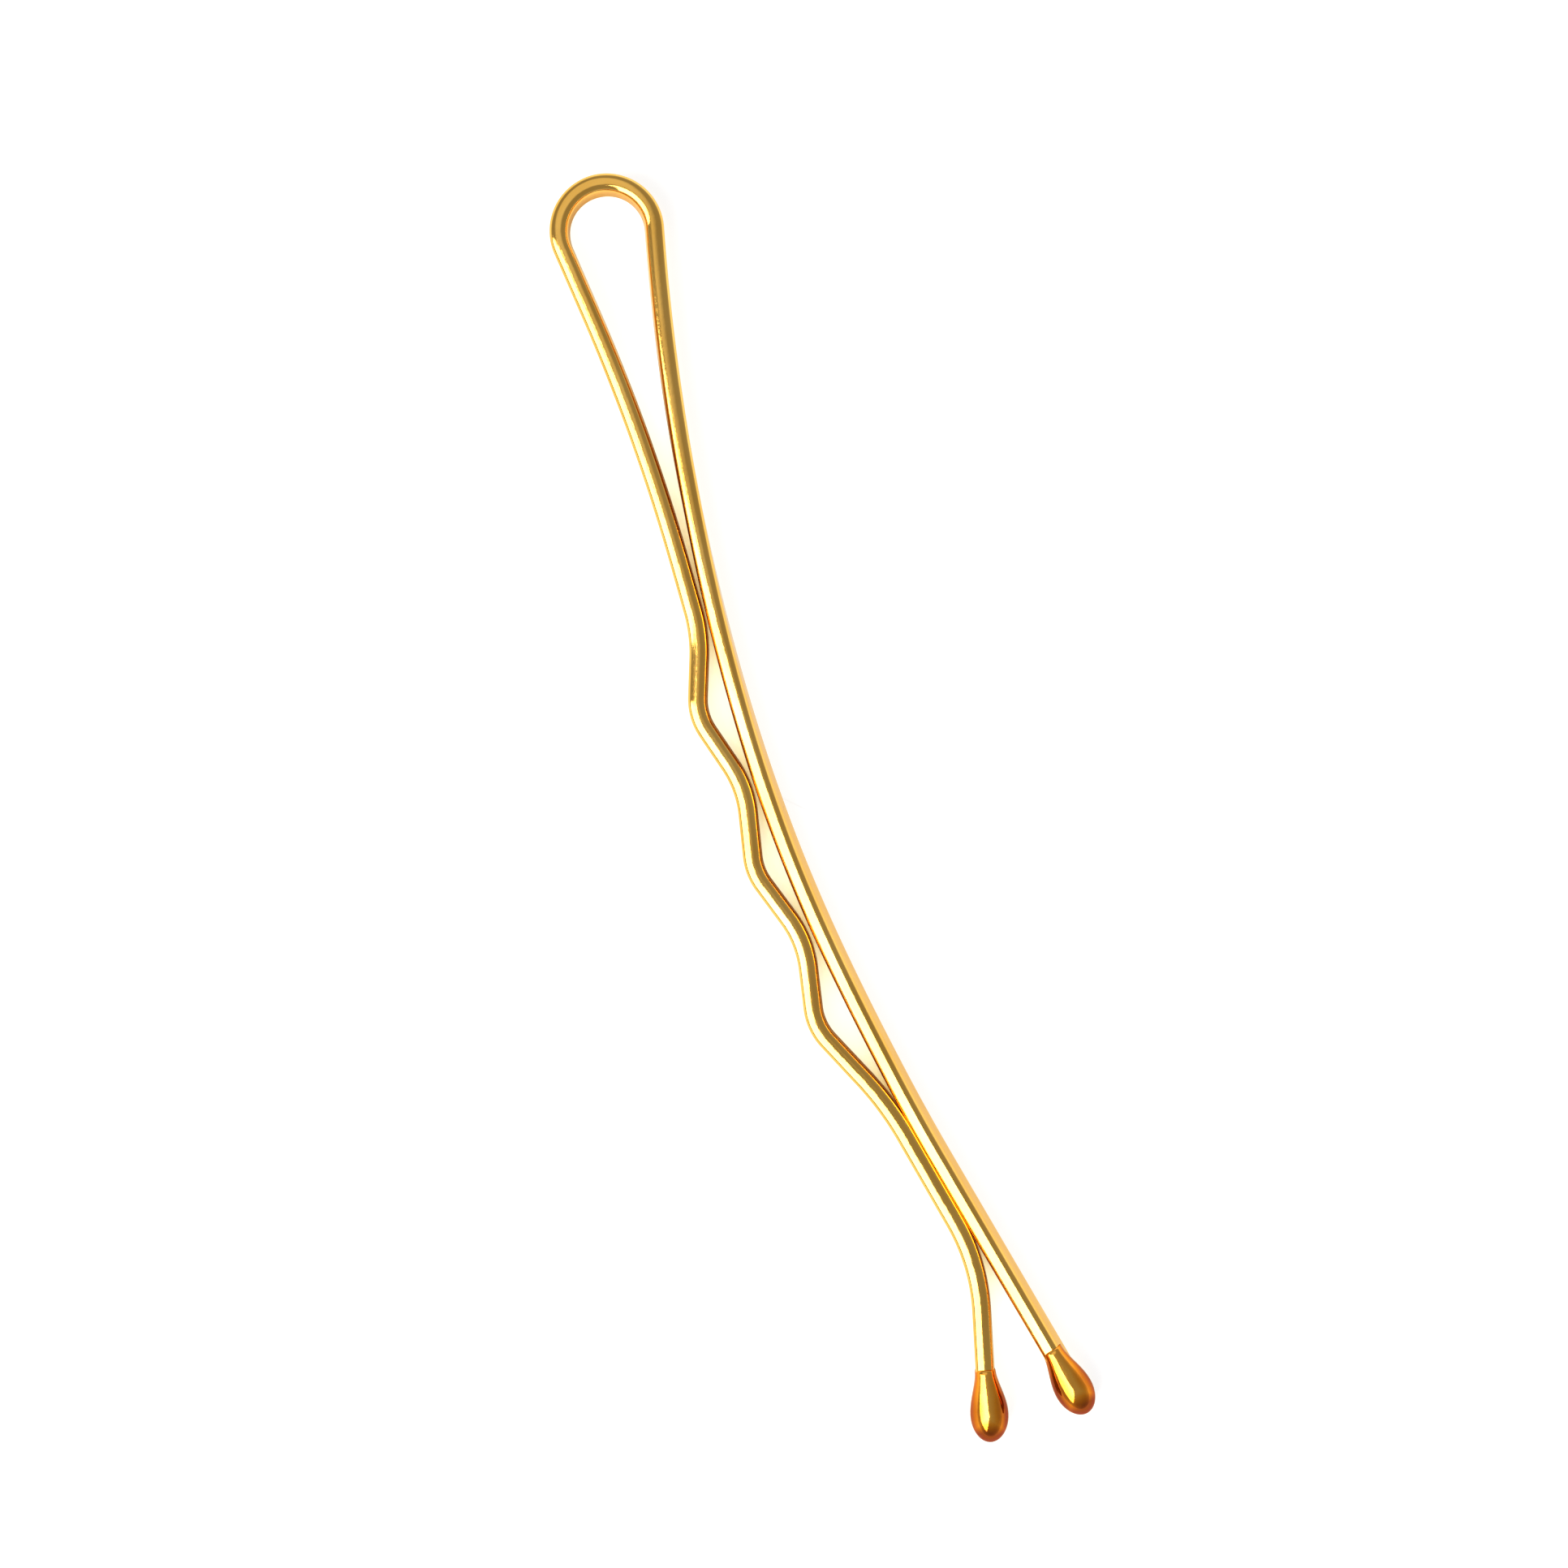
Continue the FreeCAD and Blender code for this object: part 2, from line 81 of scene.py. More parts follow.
KNUCKLE_STRAIGHT = 1.0

# Sizes of a bead in millimetres, as in the solids
BEAD_COVER = 1.93
BEAD_END_WALL = 0.91
BEAD_SIDE_WALL = 0.38
BEAD_EDGE_WALL = 0.18
BEAD_LIP = 0.05
BEAD_EDGE_LIP = 0.13
BEAD_NOSE = 1.07
BEAD_SAG = 0.07
SWELL_POWER = 1.6
BEAD_HALF = THICKNESS / 2 + BEAD_SIDE_WALL
# The bead's rounded lip: its length along the bead, the turns in degrees at which it has rings, and how
# far it sags inward on the straight leg
LIP_ROUND = 0.12
LIP_TURNS = (-30, 0, 15, 30, 45, 60, 75)
STRAIGHT_LIP_SAG = 0.045
# Where the bead's colour darkens at its end, from the wire's end: partly the thicker resin's deeper colour,
# partly painted shade where the nose rounds away
END_DARKENS = (-0.3, 0.7)

# How the meshes are divided, in millimetres, degrees and counts
STEP = 0.16
BEND_STEP = 3.0
CAP_POINTS = 22
BEAD_RINGS = 22
NOSE_RINGS = 14

# The wire's narrow edges are flatter than round: the power of their curve
EDGE_POWER = 2.75
# How far the section leans outward on each leg and at the top of the loop, in degrees
WAVY_LEAN = 3.0
CROWN_LEAN = 8.0
LOOP_END_LEAN = 4.0
STRAIGHT_LEAN = -13.5
# Stations of the straight leg between which its lean grows
LEAN_START = 4.0
LEAN_FULL = 27.0
# The waves pull the straight leg towards them: how far, and the stations where that starts, is most
# and ends
PULL = 0.12
PULL_START = 10.0
PULL_MOST = 24.0
PULL_END = 34.0
# How much closer to the straight leg the run-in corner lies than in the solids
RUN_IN_CLOSER = 0.06

# The seam of the two meshes along the wire from the loop, in millimetres
SEAM_AFTER_LOOP = 2.5

# The picture: its size and the frame's origin in pixels, its scale, the turn of its right-hand direction
# from +X in degrees, the lens and sensor in millimetres, and the nearest and furthest seen in metres
PICTURE_SIZE = 1932
ORIGIN_PIXEL = (990.27, 995.94)
PIXELS_PER_MM = 32.05
PICTURE_TURN = 70.06
LENS = 150.0
SENSOR = 36.0
NEAREST = 0.01
FURTHEST = 50.0

# The softbox, seen from the pin: its middle and half width in degrees anticlockwise from the picture's
# right, its low and high edge in degrees up, its panels, its distance in metres, and its radiance
SOFTBOX_MIDDLE = 215.5
SOFTBOX_HALF = 33.5
SOFTBOX_LOW = 25.0
SOFTBOX_HIGH = 82.0
SOFTBOX_PANELS = 8
SOFTBOX_DISTANCE = 1.5
SOFTBOX_RADIANCE = 5.2
# Watts per square metre of a lamp at which its radiance is one
LAMP_POWER = 4
# The room's dim light: its radiance overhead and at the horizon, and how fast it falls off
ROOM_OVERHEAD = 0.33
ROOM_HORIZON = 0.95
ROOM_POWER = 5.0
# A pale ceiling patch: its place in degrees from the picture's right and up, its inner and outer half
# width, and its radiance
PATCH_SIDE = 115.0
PATCH_HEIGHT = 68.0
PATCH_INNER = 12.0
PATCH_OUTER = 26.0
PATCH_RADIANCE = 0.5
# The floor: its side in metres, how far below the pin it lies in millimetres, and its grey
FLOOR_SIZE = 20.0
FLOOR_BELOW = 0.005
FLOOR_GREY = 0.34
# How far off the pin still takes sky away from the floor, in metres, and in how many directions to look
SKY_REACH = 0.008
SKY_SAMPLES = 32
# The floor's own light by its share of open sky: white in the open, a painted golden glow where the wire
# throws light on it, and painted brown shade in the narrow gaps between the legs
FLOOR_PAINTED_LIGHT = [(0.03, (0.12, 0.04, 0.003)), (0.09, (0.30, 0.12, 0.01)), (0.13, (0.95, 0.60, 0.14)),
              (0.17, (1.0, 0.92, 0.48)), (0.25, (1.0, 0.98, 0.78)), (0.38, (1.0, 1.0, 0.93)),
              (0.58, (0.86, 0.86, 0.83)), (0.72, (0.80, 0.80, 0.80))]
# The same light as the wire mirrors it: painted brown shade in all the pockets between the legs
MIRRORED_PAINTED_LIGHT = [(0.30, (0.16, 0.06, 0.006)), (0.42, (0.50, 0.36, 0.15)), (0.55, (0.82, 0.80, 0.72)),
                 (0.70, (0.80, 0.80, 0.80))]


# The wire's line, drawn with complex numbers about the centre of the bow

def toward(degrees):
    return cmath.exp(1j * math.radians(degrees))


def smooth_share(value, start, end):
    share = np.clip((value - start) / (end - start), 0, 1)
    return share * share * (3 - 2 * share)


def beside_leg(station, offset):
    """The point at a station of the straight leg, at an offset from its middle towards the wavy leg."""
    return (BOW_RADIUS + offset) * toward(math.degrees(station / BOW_RADIUS) - 90)


def arc(centre, start, turn):
    """Points along an arc from start that turns by an angle in radians, anticlockwise if positive."""
    spoke = start - centre
    by_length = abs(spoke) * abs(turn) / STEP
    by_turn = math.degrees(abs(turn)) / BEND_STEP
    steps = max(2, math.ceil(max(by_length, by_turn)))
    return [centre + spoke * cmath.exp(1j * turn * step / steps) for step in range(steps + 1)]


def rounded(points, radii):
    """Straight runs through the points, with a round bend at each point between the ends."""
    way = [points[0]]
    for before, corner, after, radius in zip(points, points[1:], points[2:], radii):
        inward = (corner - before) / abs(corner - before)
        outward = (after - corner) / abs(after - corner)
        turn = cmath.phase(outward / inward)
        reach = radius * math.tan(abs(turn) / 2)
        start = corner - inward * reach
        centre = start + 1j * inward * math.copysign(radius, turn)
        way += arc(centre, start, turn)
    return way + [points[-1]]


def spaced(way):
    """The same way with points no further apart than a step."""
    filled = [way[0]]
    for start, end in zip(way, way[1:]):
        if abs(end - start) < STEP / 100:
            continue
        steps = max(1, round(abs(end - start) / STEP))
        filled += [start + (end - start) * step / steps for step in range(1, steps + 1)]
    return filled


contact = BOW_LENGTH - CONTACT_RUN
third_trough = contact - RUN_OUT
troughs = [third_trough - 2 * WAVE_PITCH, third_trough - WAVE_PITCH, third_trough]
run_in = troughs[0] - RUN_IN
bow_end_heading = math.degrees(BOW_LENGTH / BOW_RADIUS)
loop_centre = -1j * (BOW_RADIUS + LOOP_RADIUS)
run_in_point = beside_leg(run_in, THICKNESS + RUN_IN_GAP - RUN_IN_CLOSER)
shoulder_point = beside_leg(run_in / 2, THICKNESS + SHOULDER_GAP)
straight_knuckle = beside_leg(run_in - STRAIGHT_KNUCKLE_AHEAD, 0)


def loop_tangent_point():
    """Where the run towards the shoulder leaves the loop."""
    to_shoulder = shoulder_point - loop_centre
    turn = cmath.phase(to_shoulder) - math.acos(LOOP_RADIUS / abs(to_shoulder))
    return loop_centre + LOOP_RADIUS * cmath.exp(1j * turn)


def shoulder_bend():
    """Radius of the shoulder's bend, which ends a short straight stretch before the wavy leg's knuckle."""
    turn = cmath.phase((run_in_point - shoulder_point) / (shoulder_point - loop_tangent_point()))
    reach = abs(run_in_point - shoulder_point) - WAVY_KNUCKLE_AHEAD - KNUCKLE_STRAIGHT
    return reach / math.tan(abs(turn) / 2)


def wavy_way():
    """The wire from the loop to the wavy leg's end."""
    corners = [shoulder_point, run_in_point]
    radii = [shoulder_bend(), RUN_IN_BEND]
    for index, trough in enumerate(troughs):
        corners.append(beside_leg(trough, THICKNESS + TROUGH_GAPS[index]))
        radii.append(TROUGH_BEND)
        if trough != third_trough:
            corners.append(beside_leg(trough + WAVE_PITCH / 2, THICKNESS + CREST_GAP))
            radii.append(CREST_BEND)
    flare = beside_leg(BOW_LENGTH, THICKNESS + CONTACT_GAP) + FLARE_RUN * toward(bow_end_heading)
    corners += [beside_leg(contact, THICKNESS + CONTACT_GAP), flare]
    radii += [CONTACT_BEND, FLARE_BEND]
    end = flare + FLARE_LENGTH * toward(bow_end_heading - FLARE_ANGLE)
    return spaced(rounded([loop_tangent_point()] + corners + [end], radii))


def loop_way():
    """The wire round the loop, from the wavy leg's side to the straight leg's."""
    start = loop_tangent_point()
    leg_start = beside_leg(0, 0)
    turn = cmath.phase((leg_start - loop_centre) / (start - loop_centre))
    return arc(loop_centre, start, turn - 2 * math.pi if turn > 0 else turn)


def straight_way():
    """The wire from the loop to the straight leg's end."""
    stations = np.linspace(0, BOW_LENGTH, math.ceil(BOW_LENGTH / STEP))
    growing = smooth_share(stations, PULL_START, PULL_MOST)
    fading = smooth_share(-stations, -PULL_END, -PULL_MOST)
    pulls = PULL * growing * fading
    bow = [beside_leg(station, pull) for station, pull in zip(stations, pulls)]
    return spaced(bow + [bow[-1] + STRAIGHT_END * toward(bow_end_heading)])


# From the drawing to the frame

def frame_places():
    """The turn from the drawing to the frame, and the loop's centre and mid-plane there in millimetres."""
    eye = next(mount for mount in frame["record"]["mounts"] if mount["name"] == "loop_eye")
    hinge = next(joint for joint in frame["joints"] if joint["name"] == "straight_leg_flex")
    eye_place = complex(*eye["pos_m"][:2]) / MM
    hinge_place = complex(*hinge["pos_m"][:2]) / MM
    turn = (hinge_place - eye_place) / (straight_knuckle - loop_centre)
    return turn / abs(turn), eye_place, eye["pos_m"][2] / MM


FRAME_TURN, EYE_PLACE, MIDDLE_HEIGHT = frame_places()


def in_frame(way):
    return EYE_PLACE + (np.array(way) - loop_centre) * FRAME_TURN


# Meshes

def signed_power(values, power):
    return np.sign(values) * np.abs(values) ** power


def edge_curve(across, wide):
    """Points round a flat section with flattened round edges: towards the outer side, and up."""
    half = across / 2
    flat = wide / 2 - half
    turns = np.linspace(0, np.pi, CAP_POINTS)
    out = half * signed_power(np.cos(turns), 2 / EDGE_POWER)
    up = flat + half * np.sin(turns) ** (2 / EDGE_POWER)
    return np.concatenate([out, -out]), np.concatenate([up, -up])


def directions(way):
    """The heading at each point of a way, as complex numbers of length one."""
    runs = np.diff(way)
    runs = runs / np.abs(runs)
    headings = np.concatenate([runs[:1], runs[:-1] + runs[1:], runs[-1:]])
    return headings / np.abs(headings)


def new_mesh(name, points, faces, runs, material):
    """A smooth mesh whose points remember where they lie on the unbent piece, in millimetres."""
    mesh = bpy.data.meshes.new(name)
    mesh.from_pydata([tuple(point) for point in points * MM], [], faces)
    mesh.validate()
    mesh.shade_smooth()
    place = mesh.attributes.new("run", "FLOAT_VECTOR", "POINT")
    place.data.foreach_set("vector", runs.astype(np.float32).ravel())
    mesh.materials.append(material)
    piece = bpy.data.objects.new(name, mesh)
    bpy.context.scene.collection.objects.link(piece)
    return piece


def skin(rings, count):
    """Faces that join rings of count points each, and close the first and last ring."""
    faces = []
    for ring in range(rings - 1):
        for spot in range(count):
            following = (spot + 1) % count
            low, high = ring * count, (ring + 1) * count
            faces.append((low + spot, low + following, high + following, high + spot))
    first = tuple(reversed(range(count)))
    last = tuple(range((rings - 1) * count, rings * count))
    return faces + [first, last]


def sharpen_ends(piece, sides):
    """Keeps the flat end faces from bending the light on the sides."""
    mesh = piece.data
    for face in mesh.polygons:
        if len(face.vertices) == sides:
            face.use_smooth = False
    sharp = mesh.attributes.new("sharp_edge", "BOOLEAN", "EDGE")
    flat_faces = [face for face in mesh.polygons if not face.use_smooth]
    ends = {tuple(sorted(key)) for face in flat_faces for key in face.edge_keys}
    sharp.data.foreach_set("value", [tuple(sorted(edge.vertices)) in ends for edge in mesh.edges])


def make_wire(name, way, along, leans, material):
    """A stretch of the wire along its line, with its run along the wire and its lean at each point."""
    out, up = edge_curve(THICKNESS, WIDTH)
    outward = 1j * directions(way)
    lean = np.radians(leans)[:, None]
    across = out * np.cos(lean) + up * np.sin(lean)
    height = up * np.cos(lean) - out * np.sin(lean)
    flat = way[:, None] + outward[:, None] * across
    points = np.stack([flat.real, flat.imag, MIDDLE_HEIGHT + height], axis=-1).reshape(-1, 3)
    runs = np.stack(np.broadcast_arrays(along[:, None], out, up), axis=-1).reshape(-1, 3)
    piece = new_mesh(name, points, skin(len(way), len(out)), runs, material)
    sharpen_ends(piece, len(out))
    return piece


def bead_sections(lip_sag):
    """Each ring of a bead: its place from the lip, sag, size across and wide, and its curve's power."""
    length = BEAD_COVER + BEAD_END_WALL
    widest_at = length - BEAD_NOSE
    lip_across = THICKNESS + 2 * BEAD_LIP
    lip_wide = WIDTH + 2 * BEAD_EDGE_LIP
    full_across = THICKNESS + 2 * BEAD_SIDE_WALL
    full_wide = WIDTH + 2 * BEAD_EDGE_WALL
    sections = []
    for turn in LIP_TURNS:
        grown = math.sin(math.radians(turn))
        place = LIP_ROUND * (1 - math.cos(math.radians(turn)))
        across = THICKNESS + 2 * BEAD_LIP * grown
        wide = WIDTH + 2 * BEAD_EDGE_LIP * grown
        sections.append((place, lip_sag * max(grown, 0), across, wide, EDGE_POWER))
    for ring in range(1, BEAD_RINGS + 1):
        share = ring / BEAD_RINGS
        rise = math.sin(math.pi / 2 * share)
        swell = rise ** SWELL_POWER
        across = lip_across + (full_across - lip_across) * swell
        wide = lip_wide + (full_wide - lip_wide) * swell
        place = LIP_ROUND + (widest_at - LIP_ROUND) * share
        sag = lip_sag + (BEAD_SAG - lip_sag) * rise
        sections.append((place, sag, across, wide, EDGE_POWER + (2 - EDGE_POWER) * swell))
    for ring in range(1, NOSE_RINGS):
        turn = math.pi / 2 * ring / NOSE_RINGS
        shrink = math.cos(turn)
        place = widest_at + BEAD_NOSE * math.sin(turn)
        sections.append((place, BEAD_SAG, full_across * shrink, full_wide * shrink, 2))
    return sections


def make_bead(name, wire_end, heading, outward, lip_sag, material):
    """A bead on a wire end that sags a little towards the other leg."""
    rings = []
    runs = []
    count = 2 * CAP_POINTS
    turns = np.linspace(0, 2 * np.pi, count, endpoint=False)
    for place, sag, across, wide, power in bead_sections(lip_sag):
        out = across / 2 * signed_power(np.cos(turns), 2 / power) - sag
        up = wide / 2 * signed_power(np.sin(turns), 2 / power)
        middle = wire_end + heading * (place - BEAD_COVER)
        level = middle + outward * out
        rings.append(np.stack([level.real, level.imag, MIDDLE_HEIGHT + up], axis=-1))
        runs.append(np.stack(np.broadcast_arrays(place, out, up), axis=-1))
    faces = skin(len(rings), count)
    return new_mesh(name, np.concatenate(rings), faces, np.concatenate(runs), material)


# Materials

def new_material(name):
    material = bpy.data.materials.new(name)
    material.use_nodes = True
    tree = material.node_tree
    return material, tree, tree.nodes["Principled BSDF"]


def set_inputs(node, values):
    for name, value in values.items():
        node.inputs[name].default_value = value


def run_place(tree):
    """Where a point lies on the unbent piece: along, out and up."""
    place = tree.nodes.new("ShaderNodeAttribute")
    place.attribute_name = "run"
    return place.outputs["Vector"]


def run_noise(tree, stretch, scale, detail):
    """Noise over the unbent piece, with its coordinates stretched along, out and up."""
    mapping = tree.nodes.new("ShaderNodeMapping")
    mapping.inputs["Scale"].default_value = stretch
    noise = tree.nodes.new("ShaderNodeTexNoise")
    set_inputs(noise, {"Scale": scale, "Detail": detail})
    tree.links.new(run_place(tree), mapping.inputs["Vector"])
    tree.links.new(mapping.outputs["Vector"], noise.inputs["Vector"])
    return noise.outputs["Fac"]


def ramp(tree, value, stops):
    """Colours or greys along a value, each stop its place and its colour."""
    node = tree.nodes.new("ShaderNodeValToRGB")
    elements = node.color_ramp.elements
    while len(elements) < len(stops):
        elements.new(0.5)
    for element, (place, colour) in zip(elements, stops):
        element.position = place
        element.color = (*colour, 1)
    tree.links.new(value, node.inputs["Fac"])
    return node.outputs["Color"]


def grey(value):
    return (value, value, value)


def math_node(tree, operation, first, second):
    node = tree.nodes.new("ShaderNodeMath")
    node.operation = operation
    for socket, value in zip(node.inputs, (first, second)):
        if isinstance(value, (int, float)):
            socket.default_value = value
        else:
            tree.links.new(value, socket)
    return node.outputs[0]


def smooth_range(tree, value, edges, most=1.0):
    """Rises smoothly from 0 to the most between two edges of a value."""
    node = tree.nodes.new("ShaderNodeMapRange")
    node.interpolation_type = "SMOOTHSTEP"
    node.inputs["From Min"].default_value, node.inputs["From Max"].default_value = edges
    node.inputs["To Max"].default_value = most
    tree.links.new(value, node.inputs["Value"])
    return node.outputs["Result"]


def add_bump(tree, shader, height, depth):
    """Raises the surface by a depth in millimetres where the height is one."""
    bump = tree.nodes.new("ShaderNodeBump")
    bump.inputs["Distance"].default_value = depth * MM
    tree.links.new(height, bump.inputs["Height"])
    tree.links.new(bump.outputs["Normal"], shader.inputs["Normal"])


def make_gold():
    """Bright gold plating with faint drawing lines and a slightly uneven lacquer."""
    material, tree, shader = new_material("gold_plating")
    set_inputs(shader, {"Metallic": 1.0, "Specular Tint": (0.97, 0.82, 0.54, 1)})
    set_inputs(shader, {"Coat Weight": 0.2, "Coat Roughness": 0.05})
    tone = run_noise(tree, stretch=(0.25, 1.5, 1.5), scale=1.2, detail=3.0)
    colours = [(0.3, (0.87, 0.47, 0.08)), (0.55, (0.93, 0.53, 0.11)), (0.75, (0.96, 0.58, 0.14))]
    tree.links.new(ramp(tree, tone, colours), shader.inputs["Base Color"])
    lines = run_noise(tree, stretch=(0.12, 4.0, 4.0), scale=5.0, detail=4.0)
    tree.links.new(ramp(tree, lines, [(0.3, grey(0.05)), (0.7, grey(0.10))]), shader.inputs["Roughness"])
    grain = run_noise(tree, stretch=(0.5, 1.0, 1.0), scale=9.0, detail=3.0)
    add_bump(tree, shader, grain, depth=0.002)
    return material


def make_amber():
    """Glossy amber resin with a metal gleam, golden over the wire's edges and red-brown towards its sides and
    end: partly the thicker resin's deeper colour, partly painted shade where the bead rounds away.
    """
    material, tree, shader = new_material("amber_resin")
    set_inputs(shader, {"Metallic": 0.95, "Specular Tint": (0.75, 0.42, 0.12, 1)})
    set_inputs(shader, {"Coat Weight": 0.12, "Coat Roughness": 0.04, "Coat IOR": 1.7})
    even = (1.0, 1.0, 1.0)
    axes = tree.nodes.new("ShaderNodeSeparateXYZ")
    tree.links.new(run_place(tree), axes.inputs[0])
    # Darker towards the bead's sides and past the wire's end: partly the thicker resin's deeper colour,
    # partly painted shade on the rims and nose where the bead rounds away
    beside = math_node(tree, "DIVIDE", math_node(tree, "ABSOLUTE", axes.outputs["Y"], 0), BEAD_HALF)
    dark_from, dark_to = END_DARKENS
    past_end = smooth_range(tree, axes.outputs["X"], (BEAD_COVER + dark_from, BEAD_COVER + dark_to))
    thick_and_rim_shade = math_node(tree, "MAXIMUM", beside, past_end)
    mottle = run_noise(tree, stretch=even, scale=1.4, detail=3.0)
    # The mottling shifts the depth and painted shade by up to 0.15 either way
    uneven = math_node(tree, "MULTIPLY", mottle, 0.3)
    depth = math_node(tree, "ADD", math_node(tree, "SUBTRACT", thick_and_rim_shade, 0.15), uneven)
    colours = [(0.1, (0.93, 0.44, 0.06)), (0.4, (0.84, 0.29, 0.015)), (0.7, (0.55, 0.14, 0.005)),
               (0.95, (0.27, 0.05, 0.003))]
    tree.links.new(ramp(tree, depth, colours), shader.inputs["Base Color"])
    haze = run_noise(tree, stretch=even, scale=5.0, detail=3.0)
    tree.links.new(ramp(tree, haze, [(0.3, grey(0.06)), (0.7, grey(0.13))]), shader.inputs["Roughness"])
    ripples = run_noise(tree, stretch=(0.7, 1.0, 1.0), scale=2.2, detail=2.0)
    add_bump(tree, shader, ripples, depth=0.012)
    return material


# Floor, light and camera

def picture_direction(azimuth, elevation=0.0):
    """The direction at an angle from the picture's right, anticlockwise, and at a height, both in degrees."""
    turn = math.radians(PICTURE_TURN + azimuth)
    rise = math.radians(elevation)
    return Vector((math.cos(turn) * math.cos(rise), math.sin(turn) * math.cos(rise), math.sin(rise)))


def make_floor():
    half = FLOOR_SIZE / 2
    mesh = bpy.data.meshes.new("floor")
    corners = [(-half, -half, 0), (half, -half, 0), (half, half, 0), (-half, half, 0)]
    mesh.from_pydata(corners, [], [(0, 1, 2, 3)])
    floor = bpy.data.objects.new("floor", mesh)
    floor.location.z = -FLOOR_BELOW * MM
    bpy.context.scene.collection.objects.link(floor)
    mesh.materials.append(make_floor_paper())


def make_floor_paper():
    """Paper that is white to the camera and in reflections, keeps the shadow, has a painted golden glow near
    the wire and painted brown shade in narrow gaps.
    """
    material = bpy.data.materials.new("floor_paper")
    material.use_nodes = True
    tree = material.node_tree
    tree.nodes.clear()
    paper = tree.nodes.new("ShaderNodeBsdfDiffuse")
    paper.inputs["Color"].default_value = (*grey(FLOOR_GREY), 1)
    rays = tree.nodes.new("ShaderNodeLightPath")
    seen = rays.outputs["Is Camera Ray"]
    for kind in ("Is Glossy Ray", "Is Transmission Ray"):
        seen = math_node(tree, "MAXIMUM", seen, rays.outputs[kind])
    sky = tree.nodes.new("ShaderNodeAmbientOcclusion")
    sky.samples = SKY_SAMPLES
    sky.inputs["Distance"].default_value = SKY_REACH
    # The glow paints the wire's golden bounce light and brown shade in the gaps onto the floor, both as seen
    # directly and as mirrored in the wire
    light = tree.nodes.new("ShaderNodeMix")
    light.data_type = "RGBA"
    tree.links.new(rays.outputs["Is Glossy Ray"], light.inputs["Factor"])
    tree.links.new(ramp(tree, sky.outputs["AO"], FLOOR_PAINTED_LIGHT), light.inputs["A"])
    tree.links.new(ramp(tree, sky.outputs["AO"], MIRRORED_PAINTED_LIGHT), light.inputs["B"])
    glow = tree.nodes.new("ShaderNodeEmission")
    tree.links.new(light.outputs["Result"], glow.inputs["Color"])
    tree.links.new(seen, glow.inputs["Strength"])
    both = tree.nodes.new("ShaderNodeAddShader")
    tree.links.new(paper.outputs[0], both.inputs[0])
    tree.links.new(glow.outputs[0], both.inputs[1])
    output = tree.nodes.new("ShaderNodeOutputMaterial")
    tree.links.new(both.outputs[0], output.inputs["Surface"])
    return material


def make_softbox():
    """A tall softbox that curves over the pin: level panels, all facing it, as wide as the same turn."""
    height = (SOFTBOX_HIGH - SOFTBOX_LOW) / SOFTBOX_PANELS
    for panel in range(SOFTBOX_PANELS):
        elevation = SOFTBOX_LOW + (panel + 0.5) * height
        lamp = bpy.data.lights.new(f"softbox_{panel}", "AREA")
        lamp.shape = "RECTANGLE"
        level_distance = SOFTBOX_DISTANCE * math.cos(math.radians(elevation))
        lamp.size = 2 * level_distance * math.tan(math.radians(SOFTBOX_HALF))
        lamp.size_y = 2 * SOFTBOX_DISTANCE * math.tan(math.radians(height / 2))
        lamp.energy = LAMP_POWER * lamp.size * lamp.size_y * SOFTBOX_RADIANCE
        holder = bpy.data.objects.new(lamp.name, lamp)
        back = picture_direction(SOFTBOX_MIDDLE, elevation)
        holder.location = back * SOFTBOX_DISTANCE
        holder.rotation_euler = back.to_track_quat("Z", "Y").to_euler()
        holder.visible_camera = False
        bpy.context.scene.collection.objects.link(holder)


def make_room():
    """A dim room: grey overhead, white at the horizon, and with a pale patch of ceiling."""
    world = bpy.data.worlds.new("room")
    bpy.context.scene.world = world
    world.use_nodes = True
    tree = world.node_tree
    place = tree.nodes.new("ShaderNodeTexCoord")
    height = tree.nodes.new("ShaderNodeSeparateXYZ")
    tree.links.new(place.outputs["Generated"], height.inputs[0])
    facing = tree.nodes.new("ShaderNodeVectorMath")
    facing.operation = "DOT_PRODUCT"
    facing.inputs[1].default_value = picture_direction(PATCH_SIDE, PATCH_HEIGHT)
    tree.links.new(place.outputs["Generated"], facing.inputs[0])
    edges = (math.cos(math.radians(PATCH_OUTER)), math.cos(math.radians(PATCH_INNER)))
    patch = smooth_range(tree, facing.outputs["Value"], edges, PATCH_RADIANCE)
    above = math_node(tree, "MAXIMUM", height.outputs["Z"], 0.0)
    fall = math_node(tree, "POWER", math_node(tree, "SUBTRACT", 1.0, above), ROOM_POWER)
    paler = math_node(tree, "MULTIPLY", fall, ROOM_HORIZON - ROOM_OVERHEAD)
    level = math_node(tree, "ADD", paler, ROOM_OVERHEAD)
    total = math_node(tree, "ADD", level, patch)
    room = tree.nodes["Background"]
    room.inputs["Color"].default_value = (*grey(1.0), 1)
    tree.links.new(total, room.inputs["Strength"])


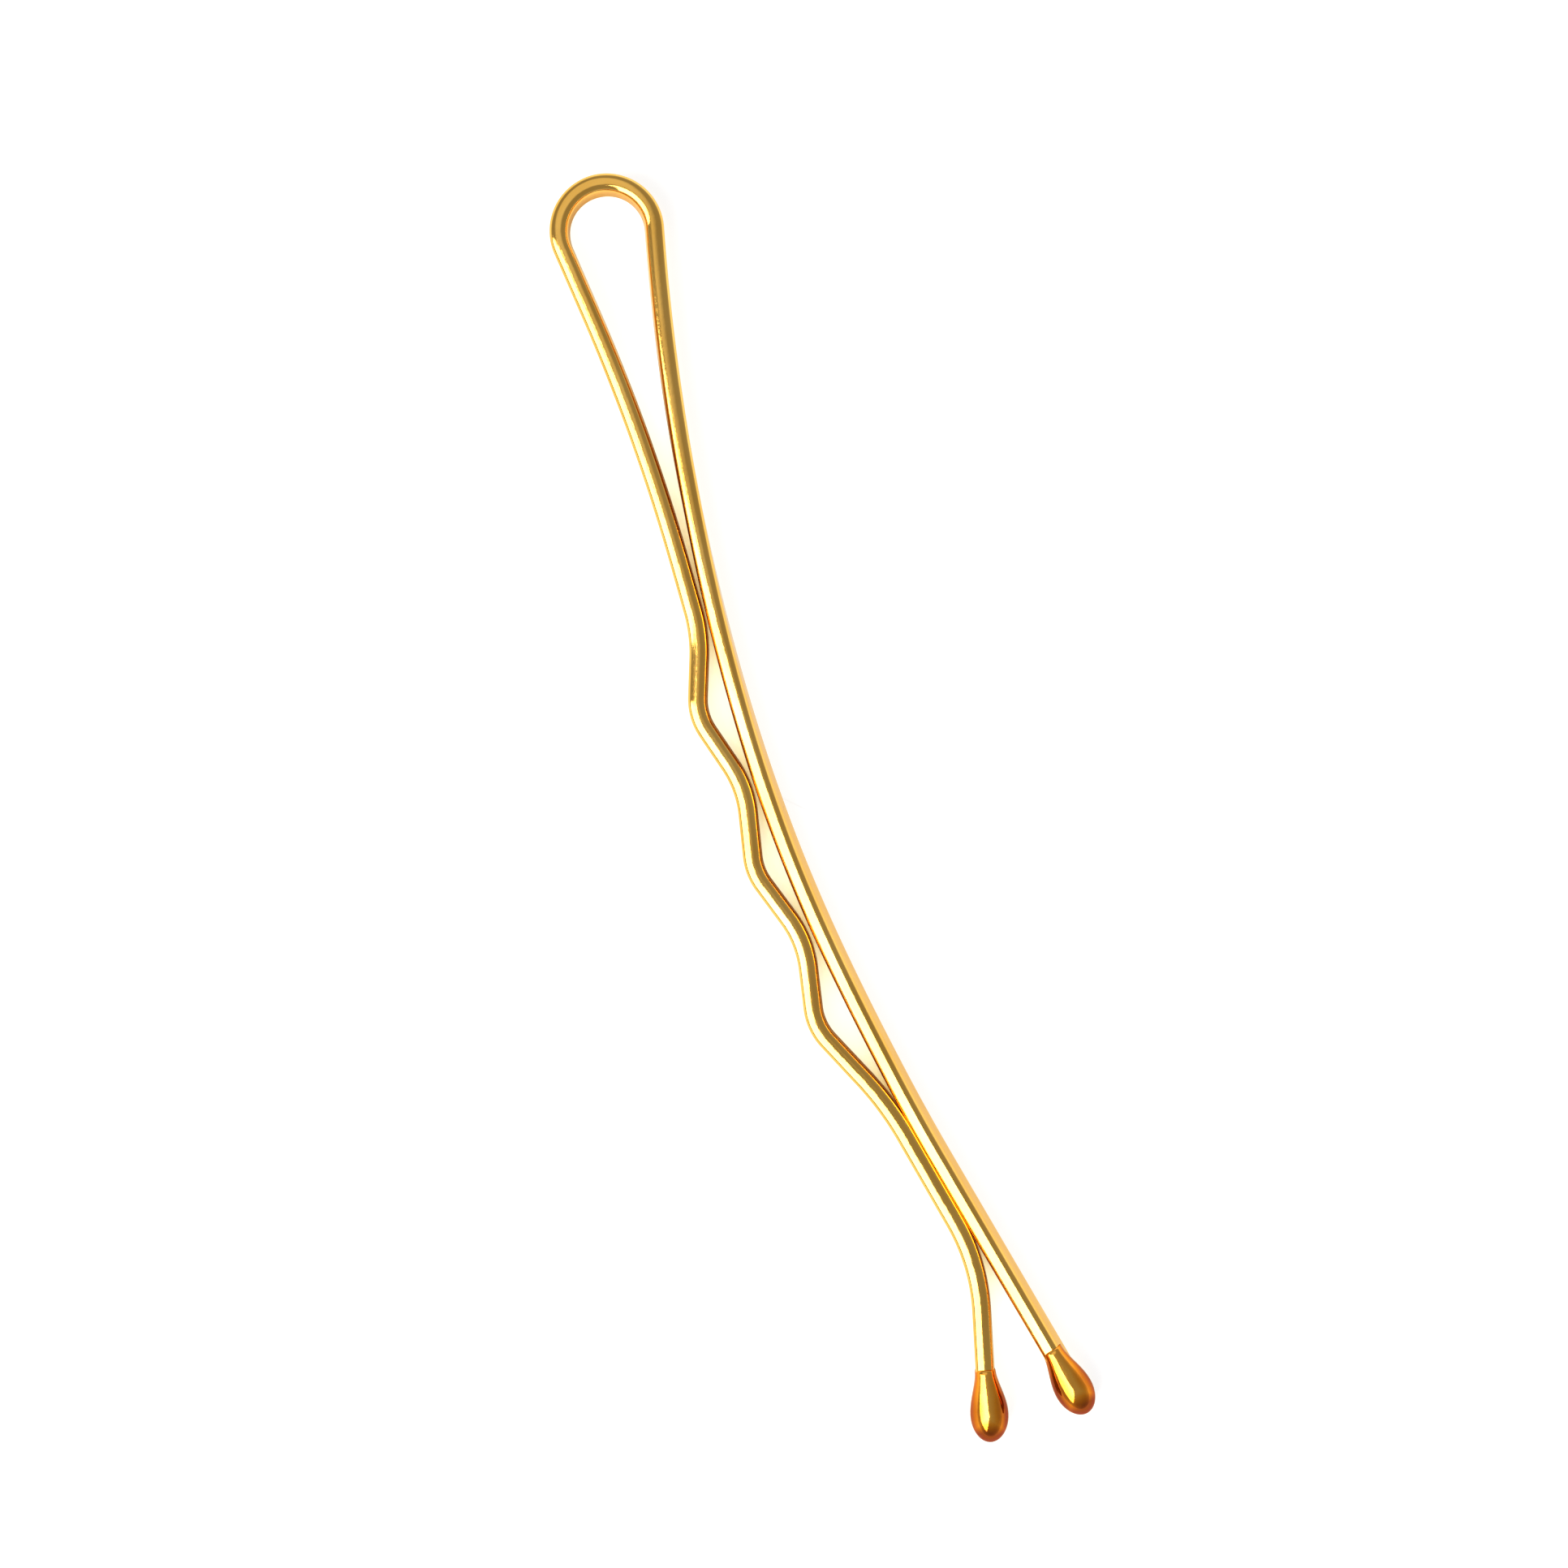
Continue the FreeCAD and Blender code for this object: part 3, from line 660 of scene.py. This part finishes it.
def make_camera():
    """Straight above the pin, framed as in the picture."""
    data = bpy.data.cameras.new("camera")
    data.lens = LENS
    data.sensor_width = SENSOR
    data.clip_start = NEAREST
    data.clip_end = FURTHEST
    camera = bpy.data.objects.new("camera", data)
    middle = PICTURE_SIZE / 2
    right = (middle - ORIGIN_PIXEL[0]) / PIXELS_PER_MM
    up = (ORIGIN_PIXEL[1] - middle) / PIXELS_PER_MM
    spot = complex(right, up) * toward(PICTURE_TURN)
    distance = PICTURE_SIZE / PIXELS_PER_MM * LENS / SENSOR
    camera.location = (spot.real * MM, spot.imag * MM, (MIDDLE_HEIGHT + distance) * MM)
    camera.rotation_euler = (0, 0, math.radians(PICTURE_TURN))
    bpy.context.scene.collection.objects.link(camera)
    bpy.context.scene.camera = camera


# The pin

def leg_blend(piece):
    """Bakes a wire's placement into its mesh."""
    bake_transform(piece)


def lengths_along(way):
    return np.concatenate([[0], np.cumsum(np.abs(np.diff(way)))])


def build_wire(material):
    """The whole wire in two meshes that meet beside the loop."""
    wavy = in_frame(wavy_way())
    loop = in_frame(loop_way())
    straight = in_frame(straight_way())
    seam = int(np.searchsorted(lengths_along(wavy), SEAM_AFTER_LOOP))
    long_way = np.concatenate([wavy[seam:0:-1], loop, straight[1:]])
    along = lengths_along(long_way)
    from_loop = along - along[seam + len(loop) - 1]
    loop_length = lengths_along(loop)[-1]
    loop_places = [-loop_length, -loop_length / 2, 0]
    loop_leans = np.interp(from_loop, loop_places, [WAVY_LEAN, CROWN_LEAN, LOOP_END_LEAN])
    leg_share = smooth_share(from_loop, LEAN_START, LEAN_FULL)
    leans = loop_leans + (STRAIGHT_LEAN - LOOP_END_LEAN) * leg_share
    plain = make_wire("wire_loop_and_straight_leg", long_way, along, leans, material)
    short_way = wavy[:seam - 1:-1]
    short_along = lengths_along(short_way)
    short_along = short_along - short_along[-1]
    waved = make_wire("wire_wavy_leg", short_way, short_along, np.full(len(short_way), WAVY_LEAN), material)
    leg_blend(plain)
    leg_blend(waved)
    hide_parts("loop", "straight_leg")
    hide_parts("wavy_leg")
    return wavy, straight


def build_beads(wavy, straight, material):
    for name, way, outer_side, lip_sag, body in (
        ("straight_leg_bead", straight, 1, STRAIGHT_LIP_SAG, "straight_leg"),
        ("wavy_leg_bead", wavy, -1, 0, "wavy_leg"),
    ):
        heading = directions(way)[-1]
        bead = make_bead(name, way[-1], heading, 1j * heading * outer_side, lip_sag, material)
        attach(bead, body)
        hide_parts(f"{body}_tip")


bpy.context.scene.view_settings.view_transform = "Standard"
make_camera()
make_floor()
make_room()
make_softbox()
wavy_line, straight_line = build_wire(make_gold())
build_beads(wavy_line, straight_line, make_amber())
